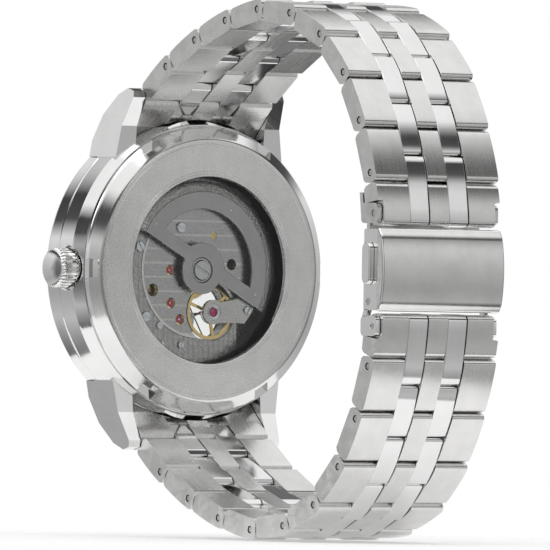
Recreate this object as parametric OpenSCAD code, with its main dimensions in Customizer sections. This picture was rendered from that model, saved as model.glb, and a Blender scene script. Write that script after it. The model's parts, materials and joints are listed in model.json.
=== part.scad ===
// Automatic wristwatch with a glazed back, on a five-column steel bracelet with a folding clasp.
// Frame: +Z is 12 o'clock, +X is 3 o'clock (the crown), +Y points out of the back to the wrist.
// The origin is the centre of the back's flat outer face.

/* [Case] */
// Radius of the case middle
case_r = 21.3; // [21:0.1:22]
// Radius of the back's outer edge
back_r = 20.45; // [20.2:0.05:20.6]
// Radius of the back's flat brushed face
back_flat_r = 18.5; // [18.2:0.1:18.8]
// Radius of the window in the back
window_r = 13.2; // [13:0.1:13.4]
// Radius of the movement
movement_r = 13; // [12.9:0.05:13.05]
// Free width between the lugs
lug_gap = 22.2; // [22.1:0.1:22.4]

/* [Crown] */
// Radius of the crown
crown_r = 2.85; // [2.6:0.05:3]
// How far the crown's end stands from the case centre
crown_end = 24; // [23.8:0.1:24.6]
// Depth of the crown's axis below the back
crown_depth = 5; // [4.95:0.05:5.05]

/* [Bracelet] */
// Distance between two link pins
pitch = 7.7; // [7.5:0.05:7.9]
// Bracelet width at the lugs
width_case = 22; // [21.6:0.1:22]
// Bracelet width at the clasp
width_clasp = 20.9; // [20.4:0.1:21.2]
// Slope of the end link, in degrees
first_slope = 44; // [42:1:46]
// Bend at each link pin with the clasp closed, in degrees, from the lug to the clasp
bends = [8, 8, 8, 9, 16, 18, 21, 16, 10, 12]; // [0:1:22]

/* [Hidden] */
eps = 0.02;
$fn = 64;
LINKS = 10;
link_top = 1.3;        // outer face above the pin line
link_bottom = 1.7;     // inner face below the pin line
face_gap = 0.06;       // half the gap between two rows
pin_back = 1.4;        // the pin lies this far inside the clasp-side end of its row
pin_r = 0.42;
run_gap = 0.04;        // radial clearance of a running fit
fit_gap = 0.01;        // between a pin and the hole that holds it
bar_r = 0.75;          // spring bar
bar_tip_r = 0.45;
last_len = 5.6;        // pin to spring bar in the last link
side_gap = 0.08;       // between two columns
pivot0 = [-2.3, 24];   // spring bar at the lugs, (y, z)

// shares of the width taken by an outer column and by each of the three inner ones
outer_share = 0.26;
inner_share = 0.16;

// slope of row i's link, and the pin at its case side
function slope(i) = i == 0 ? first_slope : slope(i - 1) - bends[i - 1];
function pivot(i) = i == 0 ? pivot0
    : pivot(i - 1) + pitch * [cos(slope(i)), sin(slope(i))];
function row_width(i) = width_case + (width_clasp - width_case) * i / LINKS;

// depths below the back's face
seat_top = 0.5;        // step that holds the back's glass
glass_t = 1;
rotor_top = 1.75;
cock_top = 2.5;
bridge_top = 3.1;      bridge_t = 0.8;
plate_top = 5.3;       plate_end = 6.8;
dial_top = 7.05;       dial_t = 0.4;
seat_depth = 7.5;      // the bezel sits here
bezel_end = 11;
glass_end = 11.5;

// places of the movement's axes, (x, z)
barrel_at = [-2.87, 4.97];
third_at = [4.675, -0.03];
fourth_at = [4.5, -4.7];
escape_at = [2.9, -7];
balance_at = [-2.6, -5.9];
pallet_at = [0.25, -6.47];
cock_screw_at = [-8.4, -5.6];
arbor_r = 0.16;
jewel_r = 0.75;

// ---------- frames ----------
// local (x, y, z) is (X, Z, depth below the back)
module axial() { rotate([90, 0, 0]) children(); }
// local (x, y, z) is (Y, Z, X)
module side() { rotate([90, 0, 90]) children(); }
// link frame: x along the link from its case-side pin, y outward, z across the bracelet
module link_frame(i) {
    side() translate([pivot(i - 1)[0], pivot(i - 1)[1], 0]) rotate([0, 0, slope(i)]) children();
}
module disc(r, top, t, at = [0, 0]) { translate([at[0], at[1], top]) cylinder(r = r, h = t); }
module ring(r_out, r_in, top, t, at = [0, 0]) {
    difference() {
        disc(r_out, top, t, at);
        disc(r_in, top - 1, t + 2, at);
    }
}
// bar across the bracelet, centred on x = 0
module cross_bar(r, len, u = 0, v = 0) {
    translate([u, v, -len / 2]) cylinder(r = r, h = len);
}
module slab(points, from, to) { translate([0, 0, from]) linear_extrude(to - from) polygon(points); }

// ---------- bracelet ----------
// outline of an outer or centre piece from u0 to u1, seen from the side
function row_outline(u0, u1) = concat(
    [[u0 + 0.7, -link_bottom], [u1 - 0.7, -link_bottom], [u1 - 0.3, -1.3], [u1, -0.2]],
    [for (a = [0 : 22.5 : 90]) [u1 - 0.7 + 0.7 * cos(a), link_top - 0.7 + 0.7 * sin(a)]],
    [[(u0 + u1) / 2, link_top + 0.12]],
    [for (a = [90 : 22.5 : 180]) [u0 + 0.7 + 0.7 * cos(a), link_top - 0.7 + 0.7 * sin(a)]],
    [[u0, -0.2], [u0 + 0.3, -1.3]]);
row_start = pin_back + face_gap;
row_end = pitch + pin_back - face_gap;
mid_start = pin_back - pitch / 2 + face_gap;
mid_end = pin_back + pitch / 2 - face_gap;
// outline of an intermediate piece: its case-side end is low, because it lifts as the pin bends
mid_outline = [[mid_start + 0.8, -1.5], [mid_end - 0.6, -1.6], [mid_end, -1.1], [mid_end, 0.5],
    [mid_end - 0.2, 0.95], [mid_end - 0.6, 1.15], [1.5, 1.3], [mid_start + 1, 1], [mid_start + 0.3, 0.8],
    [mid_start, 0.3], [mid_start, -0.2], [mid_start + 0.3, -1]];
function inner_edge(w) = w * (0.5 - outer_share);       // outer column's inner side
function centre_edge(w) = w * inner_share / 2;

// the three pieces of a row that share its two ends
module row_pieces(points, w) {
    for (s = [-1, 1]) {
        a = inner_edge(w) + side_gap / 2;
        if (s > 0) slab(points, a, w / 2); else slab(points, -w / 2, -a);
    }
    slab(points, -centre_edge(w) + side_gap / 2, centre_edge(w) - side_gap / 2);
}
module mid_pieces(points, w) {
    a = centre_edge(w) + side_gap / 2;
    b = inner_edge(w) - side_gap / 2;
    slab(points, a, b);
    slab(points, -b, -a);
}
fixed_pin_u = 3.3;
module link(i) {
    w = row_width(i);
    link_frame(i) {
        difference() {
            row_pieces(row_outline(row_start, row_end), w);
            cross_bar(pin_r, w + 2, pitch);
            cross_bar(pin_r, w + 2, fixed_pin_u);
        }
        difference() {
            mid_pieces(mid_outline, w);
            cross_bar((i == 1 ? bar_r : pin_r) + run_gap, w + 2);
            cross_bar(pin_r, w + 2, fixed_pin_u);
        }
        cross_bar(pin_r - fit_gap, w - 0.4, pitch);
        cross_bar(pin_r - fit_gap, inner_edge(w) * 2 + 3, fixed_pin_u);
    }
}
// the last link: notched at both sides for the clasp's ears, with the spring bar's barrel
last_end = last_len + 1.75;
ear_in = 9.65;         // the ears stand between these distances from the middle
ear_out = 10.35;
ear_slack = 0.1;
ear_half = 1.4;        // half an ear's length along the bracelet
// the last row's intermediate pieces run on to its end
long_outline = [[mid_start + 0.8, -1.5], [last_end - 0.6, -1.5], [last_end, -0.9], [last_end, 0.7],
    [last_end - 0.3, 1.1], [last_end - 0.8, 1.24], [1.5, 1.3], [mid_start + 1, 1], [mid_start + 0.3, 0.8],
    [mid_start, 0.3], [mid_start, -0.2], [mid_start + 0.3, -1]];
module last_link(tips) {
    w = row_width(LINKS);
    link_frame(LINKS) {
        difference() {
            row_pieces(row_outline(row_start, last_end), w);
            cross_bar(bar_r, 2 * ear_in, last_len);
            cross_bar(pin_r, w + 2, fixed_pin_u);
            for (s = [-1, 1])
                translate([last_len - ear_half - 0.2, -5, s > 0 ? ear_in - ear_slack : -w / 2 - 1])
                    cube([6, 10, w / 2 + 1 - ear_in + ear_slack]);
        }
        difference() {
            mid_pieces(long_outline, w);
            cross_bar(pin_r + run_gap, w + 2);
            cross_bar(pin_r, w + 2, fixed_pin_u);
            cross_bar(bar_r, w, last_len);
        }
        if (tips) cross_bar(bar_tip_r, 2 * ear_out - 0.2, last_len);
        cross_bar(bar_r - fit_gap, 2 * (ear_in - ear_slack), last_len);
        cross_bar(pin_r - fit_gap, inner_edge(w) * 2 + 3, fixed_pin_u);
    }
}
module bracelet_link(i, tips = false) {
    color(i % 2 == 0 ? "silver" : "lightgray")
        if (i == LINKS) last_link(tips); else link(i);
}
module mirrored(up) { if (up) children(); else mirror([0, 0, 1]) children(); }

// end link: fills the gap between the lugs and meets the case
end_outline = concat(
    [[-9, -link_bottom], [pin_back - 0.76, -link_bottom], [pin_back - 0.36, -1.3], [pin_back - 0.06, -0.2]],
    [for (a = [0 : 30 : 90]) [pin_back - 0.76 + 0.7 * cos(a), link_top - 0.7 + 0.7 * sin(a)]],
    [[-4, link_top - 0.1], [-9, link_top - 1.2]]);
module end_link() {
    w = width_case;
    difference() {
        side() translate(pivot0) rotate([0, 0, first_slope]) difference() {
            slab(end_outline, -w / 2, w / 2);
            // slots for the first link's two intermediate pieces
            for (s = [-1, 1])
                translate([mid_start - 0.5, -5, s > 0 ? centre_edge(w) - side_gap / 2 : -inner_edge(w) - side_gap / 2])
                    cube([6, 10, inner_edge(w) - centre_edge(w) + side_gap]);
            cross_bar(bar_r + fit_gap, w + 2);
        }
        axial() disc(case_r + 0.04, -5, 25);
    }
}
module end_links() { color("silver") for (up = [true, false]) mirrored(up) end_link(); }
module lug_spring_bars() {
    color("gray") for (up = [true, false]) mirrored(up) side() translate(pivot0) {
        cross_bar(bar_r, width_case - 0.1);
        cross_bar(bar_tip_r, lug_gap + 2.4);
    }
}

// ---------- case ----------
lug_w = 3.3;
recess_x = 20.3;       // floor of the hollow round the crown
lug_outline = [[-3.1, 14], [-2.6, 20.2], [-0.7, 24.2], [-0.9, 25.1], [-2.4, 25.5], [-4.6, 24.6],
    [-7.6, 21.8], [-9.4, 18.2], [-9.6, 14]];
module lug(sx) {
    inner = lug_gap / 2;
    difference() {
        side() slab(lug_outline, sx > 0 ? inner : -inner - lug_w, sx > 0 ? inner + lug_w : -inner);
        // the outer flank leans in toward the tip
        translate([sx * (inner + lug_w), -6, 15.8]) rotate([0, -sx * 9, 0])
            translate([sx > 0 ? 0 : -6, -10, -8]) cube([6, 24, 24]);
        axial() disc(case_r - 0.6, -5, 25);
        axial() disc(case_r + 0.1, seat_depth, 10);
        side() translate(pivot0) cross_bar(bar_tip_r + fit_gap, lug_gap + 2.4 + fit_gap);
    }
}
module case_middle() {
    color("silver") {
        difference() {
            union() {
                axial() rotate_extrude($fn = 128) polygon([[18.75, 1.75], [20.6, 1.75], [21.22, 3.6], [case_r, 3.8],
                    [case_r, 6.9], [case_r - 0.12, 7], [case_r - 0.12, 7.2], [case_r, 7.3], [case_r, seat_depth],
                    [17.1, seat_depth], [17.1, 3.4], [18.75, 3.4]]);
                for (up = [true, false]) mirrored(up) for (sx = [-1, 1]) lug(sx);
            }
            // hole for the crown tube, and the hollow that the crown sits in
            crown_axis() translate([0, 0, 14]) cylinder(r = tube_r + 0.02, h = 10);
            crown_recess();
        }
    }
}
module crown_recess() {
    crown_axis() translate([0, 0, recess_x]) cylinder(r1 = crown_r + 0.15, r2 = crown_r + 0.75, h = 2);
}
module bezel() {
    color("lightgray") difference() {
        axial() rotate_extrude($fn = 128) polygon([[17.9, seat_depth], [case_r, seat_depth],
            [case_r + 0.05, 9.4], [21, 10.1], [20.2, 10.8], [19.6, bezel_end], [18.75, bezel_end],
            [18.75, 10.1], [17.3, 10.1], [17.9, 9]]);
        crown_recess();
    }
}
module front_crystal() {
    color([0.8, 0.9, 0.95, 0.4]) axial() rotate_extrude($fn = 128)
        polygon([[0, 10.1], [18.7, 10.1], [18.7, bezel_end], [17.5, 11.2], [12, 11.4], [0, glass_end]]);
}
notch_r = 19;
module case_back() {
    color("silver") difference() {
        axial() rotate_extrude($fn = 128) polygon([[window_r, 0.05], [window_r + 0.05, 0], [back_flat_r, 0],
            [back_flat_r + 0.2, 0.06], [back_r, 1.3], [back_r, 1.7], [18.7, 1.7], [18.7, 3.3], [17.4, 3.3],
            [17.4, 1.9], [14.4, 1.9], [14.4, seat_top], [window_r, seat_top]]);
        // six wrench notches, one of them toward the crown
        for (a = [0 : 60 : 300]) axial() rotate([0, 0, a])
            translate([notch_r, -1.3, -1]) cube([3, 2.6, 2.5]);
    }
}
module back_crystal() {
    color([0.8, 0.9, 0.95, 0.4]) axial() {
        disc(window_r - 0.03, 0, seat_top + glass_t);
        disc(14, seat_top, glass_t);
    }
}
module back_gasket() { color([0.1, 0.1, 0.1]) axial() ring(14.38, 14.02, seat_top, glass_t); }
module movement_holder() {
    color("dimgray") difference() {
        axial() rotate_extrude($fn = 96) polygon([[movement_r + 0.05, 3.4], [17.05, 3.4],
            [17.05, dial_top - eps], [movement_r + 0.05, dial_top - eps]]);
        crown_axis() translate([0, 0, 5]) cylinder(r = tube_r + 0.02, h = 20);
    }
}
module crown_axis() { translate([0, -crown_depth, 0]) rotate([0, 90, 0]) children(); }
tube_r = 1.28;
module crown_tube() {
    color("silver") crown_axis() rotate_extrude() polygon([[0.75, 17.2], [tube_r, 17.2],
        [tube_r, recess_x], [2.2, recess_x + 0.02], [1.9, recess_x + 0.25], [1.15, recess_x + 0.25],
        [1.15, crown_in + 1], [0.75, crown_in + 1]]);
}
crown_in = 20.7;       // inner face of the crown
module crown() {
    teeth = 30;
    depth = 0.16;
    color("lightgray") crown_axis() difference() {
        intersection() {
            rotate_extrude() polygon([[0, crown_in], [crown_r - 0.2, crown_in], [crown_r, crown_in + 0.2],
                [crown_r, crown_end - 0.55], [crown_r - 0.25, crown_end - 0.25], [1.6, crown_end - 0.05],
                [0, crown_end]]);
            translate([0, 0, crown_in - 1]) linear_extrude(5) polygon([for (i = [0 : 4 * teeth - 1])
                (crown_r - (i % 4 < 2 ? 0 : depth)) * [cos(i * 90 / teeth), sin(i * 90 / teeth)]]);
        }
        translate([0, 0, crown_in - 1]) cylinder(r = 1.65, h = 1 + 1.1);
    }
}
module crown_gasket() { color([0.1, 0.1, 0.1]) crown_axis() translate([0, 0, crown_in + 0.05]) difference() {
        cylinder(r = 1.6, h = 0.35);
        translate([0, 0, -1]) cylinder(r = 1.2, h = 3);
    }
}
stem_r = 0.42;
module crown_stem() {
    color("gray") crown_axis() {
        translate([0, 0, 9.4]) cylinder(r = stem_r, h = crown_in + 1.1 - 9.4);
        translate([0, 0, 14.2]) cylinder(r = 0.7, h = 0.7);
    }
}

// ---------- dial and hands ----------
module dial() {
    color([0.15, 0.17, 0.25]) axial() difference() {
        disc(17, dial_top, dial_t);
        disc(0.75, dial_top - 1, 3);
        // open-heart window over the balance
        disc(4.2, dial_top - 1, 3, balance_at);
    }
}
module hour_markers() {
    color("silver") axial() for (h = [0 : 11]) rotate([0, 0, 30 * h])
        translate([-0.4, h % 3 == 0 ? 12.4 : 13.2, dial_top + dial_t]) cube([0.8, h % 3 == 0 ? 3.8 : 3, 0.35]);
}
// a tapered hand with a hub, lying at the depth given
module hand(len, tail, w, top, t, hub) {
    difference() {
        union() {
            translate([0, 0, top]) linear_extrude(t) polygon([[-w / 3, -tail], [w / 3, -tail], [w / 2, 0],
                [w / 3, len * 0.8], [0, len], [-w / 3, len * 0.8], [-w / 2, 0]]);
            disc(hub, top, t);
        }
        disc(hub - 0.25, top - 1, 3);
    }
}
hour_pipe_r = 0.7;
minute_pipe_r = 0.42;
seconds_arbor_r = 0.12;
module hour_hand() {
    color("silver") axial() {
        rotate([0, 0, 60]) difference() {
            union() { hand(9.5, 0, 1.5, 8, 0.2, 1.1); disc(0.9, 8, 0.2); }
            disc(hour_pipe_r, 7, 3);
        }
        ring(hour_pipe_r, minute_pipe_r + 0.04, 6.95, 1.25);
    }
}
module minute_hand() {
    color("silver") axial() rotate([0, 0, -60]) difference() {
        union() { hand(14.5, 0, 1.2, 8.5, 0.2, 0.95); disc(0.8, 8.5, 0.2); }
        disc(minute_pipe_r, 7, 3);
    }
}

// ---------- gears ----------
// toothed outline: the teeth are narrower than the gaps, so meshed wheels run free
module gear_outline(n, r, m, phase = 0, share = 0.4) {
    tip = r + 0.75 * m;
    root = r - 1.05 * m;
    step = 360 / n;
    polygon([for (i = [0 : n - 1]) let (a = i * step + phase)
        each [root * [cos(a - step * share * 0.75), sin(a - step * share * 0.75)],
              tip * [cos(a - step * share * 0.28), sin(a - step * share * 0.28)],
              tip * [cos(a + step * share * 0.28), sin(a + step * share * 0.28)],
              root * [cos(a + step * share * 0.75), sin(a + step * share * 0.75)]]]);
}
// a wheel with spokes
module wheel(n, r, m, top, t, spokes, hub, phase = 0, at = [0, 0]) {
    rim = 0.11 * r + 2 * m;
    translate([at[0], at[1], top]) difference() {
        linear_extrude(t) gear_outline(n, r, m, phase);
        translate([0, 0, -1]) difference() {
            cylinder(r = r - rim, h = 5);
            translate([0, 0, -1]) cylinder(r = hub, h = 7);
            for (i = [0 : spokes - 1]) rotate([0, 0, i * 360 / spokes])
                translate([0, -0.09 * r, -1]) cube([r, 0.18 * r, 7]);
        }
        translate([0, 0, -1]) cylinder(r = arbor_r, h = 5);
    }
}
module pinion(n, r, m, top, t, phase = 0, at = [0, 0]) {
    translate([at[0], at[1], top]) difference() {
        linear_extrude(t) gear_outline(n, r, m, phase, 0.34);
        translate([0, 0, -1]) cylinder(r = arbor_r, h = 5);
    }
}
arbor_from = bridge_top + 0.15;
arbor_to = plate_top + 0.9;
module arbor(at) { disc(arbor_r, arbor_from, arbor_to - arbor_from, at); }
// angle of the line from one axis to another
function aim(a, b) = atan2(b[1] - a[1], b[0] - a[0]);
function gap_at(n, dir) = dir + 180 / n;       // phase that puts a gap at dir

third_pinion_r = 0.52;
center_r = 4.155;
center_m = 0.1039;
third_r = 4.125;
third_m = 0.11;
fourth_r = 2.52;
fourth_m = 0.07;
barrel_m = 0.14;
module mainspring_barrel() {
    color("goldenrod") axial() {
        difference() {
            union() {
                disc(4.55, 4.02, 0.93, barrel_at);
                translate([barrel_at[0], barrel_at[1], 4.68]) linear_extrude(0.27)
                    gear_outline(72, 5.04, barrel_m, aim(barrel_at, [0, 0]));
            }
            disc(0.5, 3, 4, barrel_at);
        }
        disc(0.5, 3.2, 2.4, barrel_at);
    }
}
module center_wheel() {
    color("gold") axial() {
        wheel(80, center_r, center_m, 5.05, 0.14, 4, 0.9, gap_at(80, aim([0, 0], third_at)));
        pinion(10, 0.7, barrel_m, 4.66, 0.32, gap_at(10, aim([0, 0], barrel_at)));
        // hollow arbor that carries the cannon pinion and the minute hand
        difference() {
            union() { disc(minute_pipe_r, 5.19, 3.51); disc(0.5, 4.98, 0.07); }
            disc(seconds_arbor_r + 0.04, 4, 6);
        }
    }
}
module third_wheel() {
    color("gold") axial() {
        wheel(75, third_r, third_m, 4.4, 0.14, 4, 0.8, aim(third_at, fourth_at), third_at);
        pinion(10, third_pinion_r, center_m, 4.98, 0.26, aim(third_at, [0, 0]), third_at);
        arbor(third_at);
    }
}
module fourth_wheel() {
    color("gold") axial() {
        wheel(72, fourth_r, fourth_m, 4.1, 0.12, 4, 0.6, gap_at(72, aim(fourth_at, escape_at)), fourth_at);
        pinion(10, 0.55, third_m, 4.34, 0.26, gap_at(10, aim(fourth_at, third_at)), fourth_at);
        arbor(fourth_at);
    }
}
module escape_wheel() {
    color("silver") axial() {
        translate([escape_at[0], escape_at[1], 4.55]) difference() {
            linear_extrude(0.12) polygon([for (i = [0 : 19]) let (a = 18 * i)
                each [1.45 * [cos(a), sin(a)], 1.95 * [cos(a + 9), sin(a + 9)], 1.9 * [cos(a + 11), sin(a + 11)],
                      1.45 * [cos(a + 10), sin(a + 10)]]]);
            translate([0, 0, -1]) difference() {
                cylinder(r = 1.2, h = 3);
                translate([0, 0, -1]) cylinder(r = 0.45, h = 5);
                for (i = [0 : 3]) rotate([0, 0, 90 * i]) translate([0, -0.12, -1]) cube([2, 0.24, 5]);
            }
            translate([0, 0, -1]) cylinder(r = arbor_r, h = 5);
        }
        pinion(8, 0.28, fourth_m, 4.06, 0.2, aim(escape_at, fourth_at), escape_at);
        arbor(escape_at);
    }
}
module pallet_fork() {
    to_balance = aim(pallet_at, balance_at);
    color("silver") axial() {
        translate([pallet_at[0], pallet_at[1], 4.56]) difference() {
            linear_extrude(0.12) rotate(to_balance) polygon([[-1.4, -1.3], [-1.2, -1.5], [0.3, -0.35],
                [1.7, -0.14], [2.15, -0.3], [2.15, -0.16], [1.95, 0], [2.15, 0.16], [2.15, 0.3], [1.7, 0.14],
                [0.3, 0.35], [-1.2, 1.5], [-1.4, 1.3], [-0.3, 0]]);
            translate([0, 0, -1]) cylinder(r = 0.1, h = 3);
        }
        disc(0.1, 4.2, 1.6, pallet_at);
    }
}
module balance_wheel() {
    color("gold") axial() {
        translate([balance_at[0], balance_at[1], 3.5]) difference() {
            cylinder(r = 3.9, h = 0.3);
            translate([0, 0, -1]) difference() {
                cylinder(r = 3.45, h = 3);
                translate([0, 0, -1]) cylinder(r = 0.55, h = 5);
                for (i = [0 : 2]) rotate([0, 0, 120 * i + 20]) translate([0, -0.2, -1]) cube([4, 0.4, 5]);
            }
            translate([0, 0, -1]) cylinder(r = 0.13, h = 5);
        }
        disc(0.13, 2.75, 3.1, balance_at);
        // roller with the impulse pin
        translate([balance_at[0], balance_at[1], 4.3]) difference() {
            cylinder(r = 0.6, h = 0.12);
            translate([0, 0, -1]) cylinder(r = 0.13, h = 5);
        }
    }
}
module hairspring() {
    turns = 5;
    steps = 14;
    r0 = 0.45;
    pitch_r = 0.26;
    wall = 0.05;
    color("steelblue") axial() translate([balance_at[0], balance_at[1], 3.22]) linear_extrude(0.12)
        polygon(concat(
            [for (i = [0 : turns * steps]) (r0 + pitch_r * i / steps) * [cos(360 * i / steps), sin(360 * i / steps)]],
            [for (i = [turns * steps : -1 : 0]) (r0 + wall + pitch_r * i / steps)
                * [cos(360 * i / steps), sin(360 * i / steps)]]));
}
module seconds_hand() {
    color("silver") axial() {
        disc(seconds_arbor_r, 4.25, 4.9);
        translate([0, 0, 4.34]) difference() {
            linear_extrude(0.26) gear_outline(10, 0.55, third_m, gap_at(10, aim([0, 0], third_at)), 0.34);
            translate([0, 0, -1]) cylinder(r = seconds_arbor_r, h = 4);
        }
        rotate([0, 0, 150]) difference() {
            union() {
                translate([0, 0, 8.95]) linear_extrude(0.15) polygon([[-0.25, -4], [0.25, -4], [0.12, 0],
                    [0.05, 15], [-0.05, 15], [-0.12, 0]]);
                disc(0.5, 8.95, 0.15);
            }
            disc(seconds_arbor_r, 8, 3);
        }
    }
}

// ---------- movement ----------
// bridge screws: the second holds the bridge, the others sit on the plate's raised ring
screws_at = [[10, 3.2], [2.9, 6], [6.4, -7.9], [2.7, -10.6], [6.2, -10.6], [8.8, -6.7]];
// holes for the train's jewels
module train_holes(r) { for (p = [third_at, fourth_at, escape_at]) disc(r, 0, 12, p); }
bridge_r = 9.6;
ledge_r = 9.2;         // the bridge rests on this ledge of the plate
foot_corner = [-13.5, -10.8];
module main_plate() {
    color("lightgray") difference() {
        axial() difference() {
            union() {
                disc(movement_r, plate_top, plate_end - plate_top);
                ring(movement_r, bridge_r + 0.1, bridge_top, bridge_t);
                ring(movement_r, ledge_r, bridge_top + bridge_t, plate_top - bridge_top - bridge_t);
            }
            train_holes(jewel_r);
            disc(minute_pipe_r + run_gap, 0, 12);
            disc(0.55, 0, 12, barrel_at);
            disc(0.12, 0, 12, pallet_at);
            // pockets for the barrel and the escape wheel, and the opening round the balance
            disc(5.35, bridge_top + bridge_t + 0.02, plate_top - bridge_top - bridge_t - 0.02, barrel_at);
            disc(2.15, bridge_top + bridge_t, plate_top - bridge_top - bridge_t, escape_at);
            disc(4.1, 2, 12, balance_at);
            // open corner where the balance cock stands
            translate([foot_corner[0], foot_corner[1], bridge_top - 1])
                cube([6.5, 7.4, plate_top - bridge_top + 1]);
            disc(0.46, 2, 4.6, cock_screw_at);
            for (i = [0, 2, 3, 4, 5]) disc(0.3, 2, 3, screws_at[i]);
        }
        crown_axis() translate([0, 0, 9.1]) cylinder(r = stem_r + run_gap, h = 8);
    }
}
module train_bridge() {
    color("silver") axial() {
        difference() {
            disc(bridge_r, bridge_top, bridge_t);
            train_holes(jewel_r);
            disc(4.35, 0, 12, balance_at);
            disc(0.51, 0, 12, barrel_at);
            disc(0.62, 0, 12);
            disc(0.3, 0, 12, screws_at[1]);
            translate([foot_corner[0], foot_corner[1], 0]) cube([7.1, 8.2, 12]);
            // sight holes
            disc(0.9, 0, 12, [7.6, -2.9]);
            disc(0.8, 0, 12, [-6, 0.9]);
            disc(0.3, 0, 12, [2.9, -2.1]);
        }
        // pallet bridge with its foot on the plate
        difference() {
            union() {
                translate([0, 0, 3.95]) linear_extrude(0.2)
                    polygon([[-0.3, -6.4], [0.1, -5.9], [0.7, -6], [0.95, -6.6], [0.9, -9.1], [0.1, -9.1]]);
                translate([0, 0, 4.15]) linear_extrude(plate_top - 4.15)
                    polygon([[0.9, -8.6], [0.9, -9.1], [0.1, -9.1], [0.1, -8.6]]);
            }
            disc(0.12, 0, 12, pallet_at);
        }
    }
}
module cock_outline() {
    // arm from the foot at the plate's edge to the balance's upper pivot
    difference() {
        intersection() {
            union() {
                translate(balance_at) circle(r = 1.75);
                polygon([[-10.4, -7.6], [-10.6, -3.8], [-7.4, -3.9], [-3.2, -4.6], [-2.2, -7.4], [-6.8, -7.4]]);
            }
            circle(r = 10.9);
        }
        translate(balance_at) circle(r = 1.2);
        translate(cock_screw_at) circle(r = 0.46);
    }
}
module balance_cock() {
    color("silver") axial() {
        translate([0, 0, cock_top]) linear_extrude(0.55) cock_outline();
        // foot standing on the plate
        translate([0, 0, cock_top + 0.55]) linear_extrude(plate_top - cock_top - 0.55) difference() {
            intersection() {
                polygon([[-12, -7.6], [-12, -3.8], [-7.2, -3.9], [-7.1, -7.4]]);
                circle(r = 10.9);
                difference() { square(40, center = true); translate(balance_at) circle(r = 4.3); }
            }
            translate(cock_screw_at) circle(r = 0.46);
        }
    }
}
module screw(at, top, r, deep) {
    difference() {
        union() { disc(r, top, 0.3, at); disc(0.28, top + 0.3 - eps, deep + eps, at); }
        translate([at[0] - r - 1, at[1] - 0.09, top - 1]) cube([2 * r + 2, 0.18, 1.12]);
    }
}
module bridge_screws() {
    color("lightsteelblue") axial() {
        for (p = screws_at) screw(p, bridge_top - 0.3, 0.75, 0.8);
        screw(cock_screw_at, cock_top - 0.3, 0.75, 2);
    }
}
module jewels() {
    color("crimson") axial() {
        for (p = [third_at, fourth_at, escape_at]) {
            ring(jewel_r, arbor_r + 0.02, bridge_top + 0.05, 0.4, p);
            ring(jewel_r, arbor_r + 0.02, plate_top + 0.3, 0.5, p);
        }
        ring(1.2, 0.16, cock_top + 0.15, 0.35, balance_at);
        disc(0.6, cock_top + 0.02, 0.13, balance_at);
    }
}
bearing_r = 2.6;
module rotor_bearing() {
    color("silver") axial() {
        ring(bearing_r - 0.85, 0.5, rotor_top + 0.1, bridge_top - rotor_top - 0.1);
        disc(0.5, rotor_top - 0.1, 1.35 + 0.1);
    }
}
// oscillating weight: half a disc on the side away from the balance
rotor_lean = 28.7;
rim_t = 0.95;
web_t = 0.4;
module rotor_half(r, top, t) {
    intersection() {
        disc(r, top, t);
        rotate([0, 0, rotor_lean]) translate([-20, 0, 0]) cube([40, 20, 10]);
    }
}
module rotor() {
    color("silver") axial() {
        difference() {
            union() {
                rotor_half(12.7, rotor_top, rim_t);
                disc(3.4, rotor_top, web_t);
            }
            disc(11.1, rotor_top + web_t, 3);
            disc(bearing_r - 0.8, 0, 9);
            // crescent between the hub and the weight
            difference() {
                disc(8.7, 0, 9);
                disc(3.9, -1, 12);
                rotate([0, 0, rotor_lean]) translate([-20, -20, -1]) cube([40, 22, 12]);
            }
        }
    }
}

// ---------- clasp ----------
ear_y = pivot(LINKS - 1)[0] + last_len * cos(slope(LINKS));
ear_z = pivot(LINKS - 1)[1] + last_len * sin(slope(LINKS));
cover_half = 5.75;
cover_w = 20.9;
hinge_y = 52.1;        // pin between the cover and the inner blade
hinge_z = -4.4;
top_hinge_y = 47.2;    // pin between the two blades
top_hinge_z = 19;
knuckle_r = 0.95;
blade_half = 4;        // half the blades' width
wall_in = 51;          // inner edge of the cover's side walls
button_z = 0.85;       // middle of the push buttons
module both_sides(inner, outer) {
    // a slab of the child outline at each side of the clasp
    for (s = [-1, 1]) translate([0, 0, s > 0 ? inner : -outer]) linear_extrude(outer - inner) children();
}
// arched outer face, flat inner face, rounded ends; x is Y and y is Z
cover_outline = [[ear_y + 0.9, -cover_half], [ear_y + 1.6, -cover_half], [ear_y + 2.05, -cover_half + 0.7],
    [ear_y + 2.45, -3], [ear_y + 2.6, 0], [ear_y + 2.45, 3], [ear_y + 2.05, cover_half - 0.7],
    [ear_y + 1.6, cover_half], [ear_y + 0.9, cover_half]];
module rounded_block(y0, y1, z0, z1, r) {
    polygon([for (c = [[y1 - r, z1 - r, 0], [y0 + r, z1 - r, 90], [y0 + r, z0 + r, 180], [y1 - r, z0 + r, 270]])
        for (a = [0 : 30 : 90]) [c[0] + r * cos(c[2] + a), c[1] + r * sin(c[2] + a)]]);
}
module clasp_cover() {
    color("silver") side() difference() {
        union() {
            slab(cover_outline, -cover_w / 2, cover_w / 2);
            // side walls with the buttons' windows and the hinge pin's holes
            both_sides(ear_in - 0.1, ear_out) difference() {
                rounded_block(wall_in, ear_y + 1, -cover_half + 0.15, cover_half - 0.15, 0.3);
                translate([52.4, button_z]) button_outline(0.08);
            }
            // lower ears, each on a narrow strip from the side wall
            both_sides(ear_in, ear_out) {
                rounded_block(50.4, 54, -ear_z - ear_half, -ear_z + ear_half, 0.7);
                polygon([[50.7, -ear_z], [51.7, -ear_z], [52.2, -4.9], [51.1, -4.9]]);
            }
        }
        translate([hinge_y, hinge_z]) cross_bar(0.5 + fit_gap, 30);
        translate([ear_y, -ear_z]) cross_bar(bar_tip_r + fit_gap, 30);
    }
}
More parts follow.
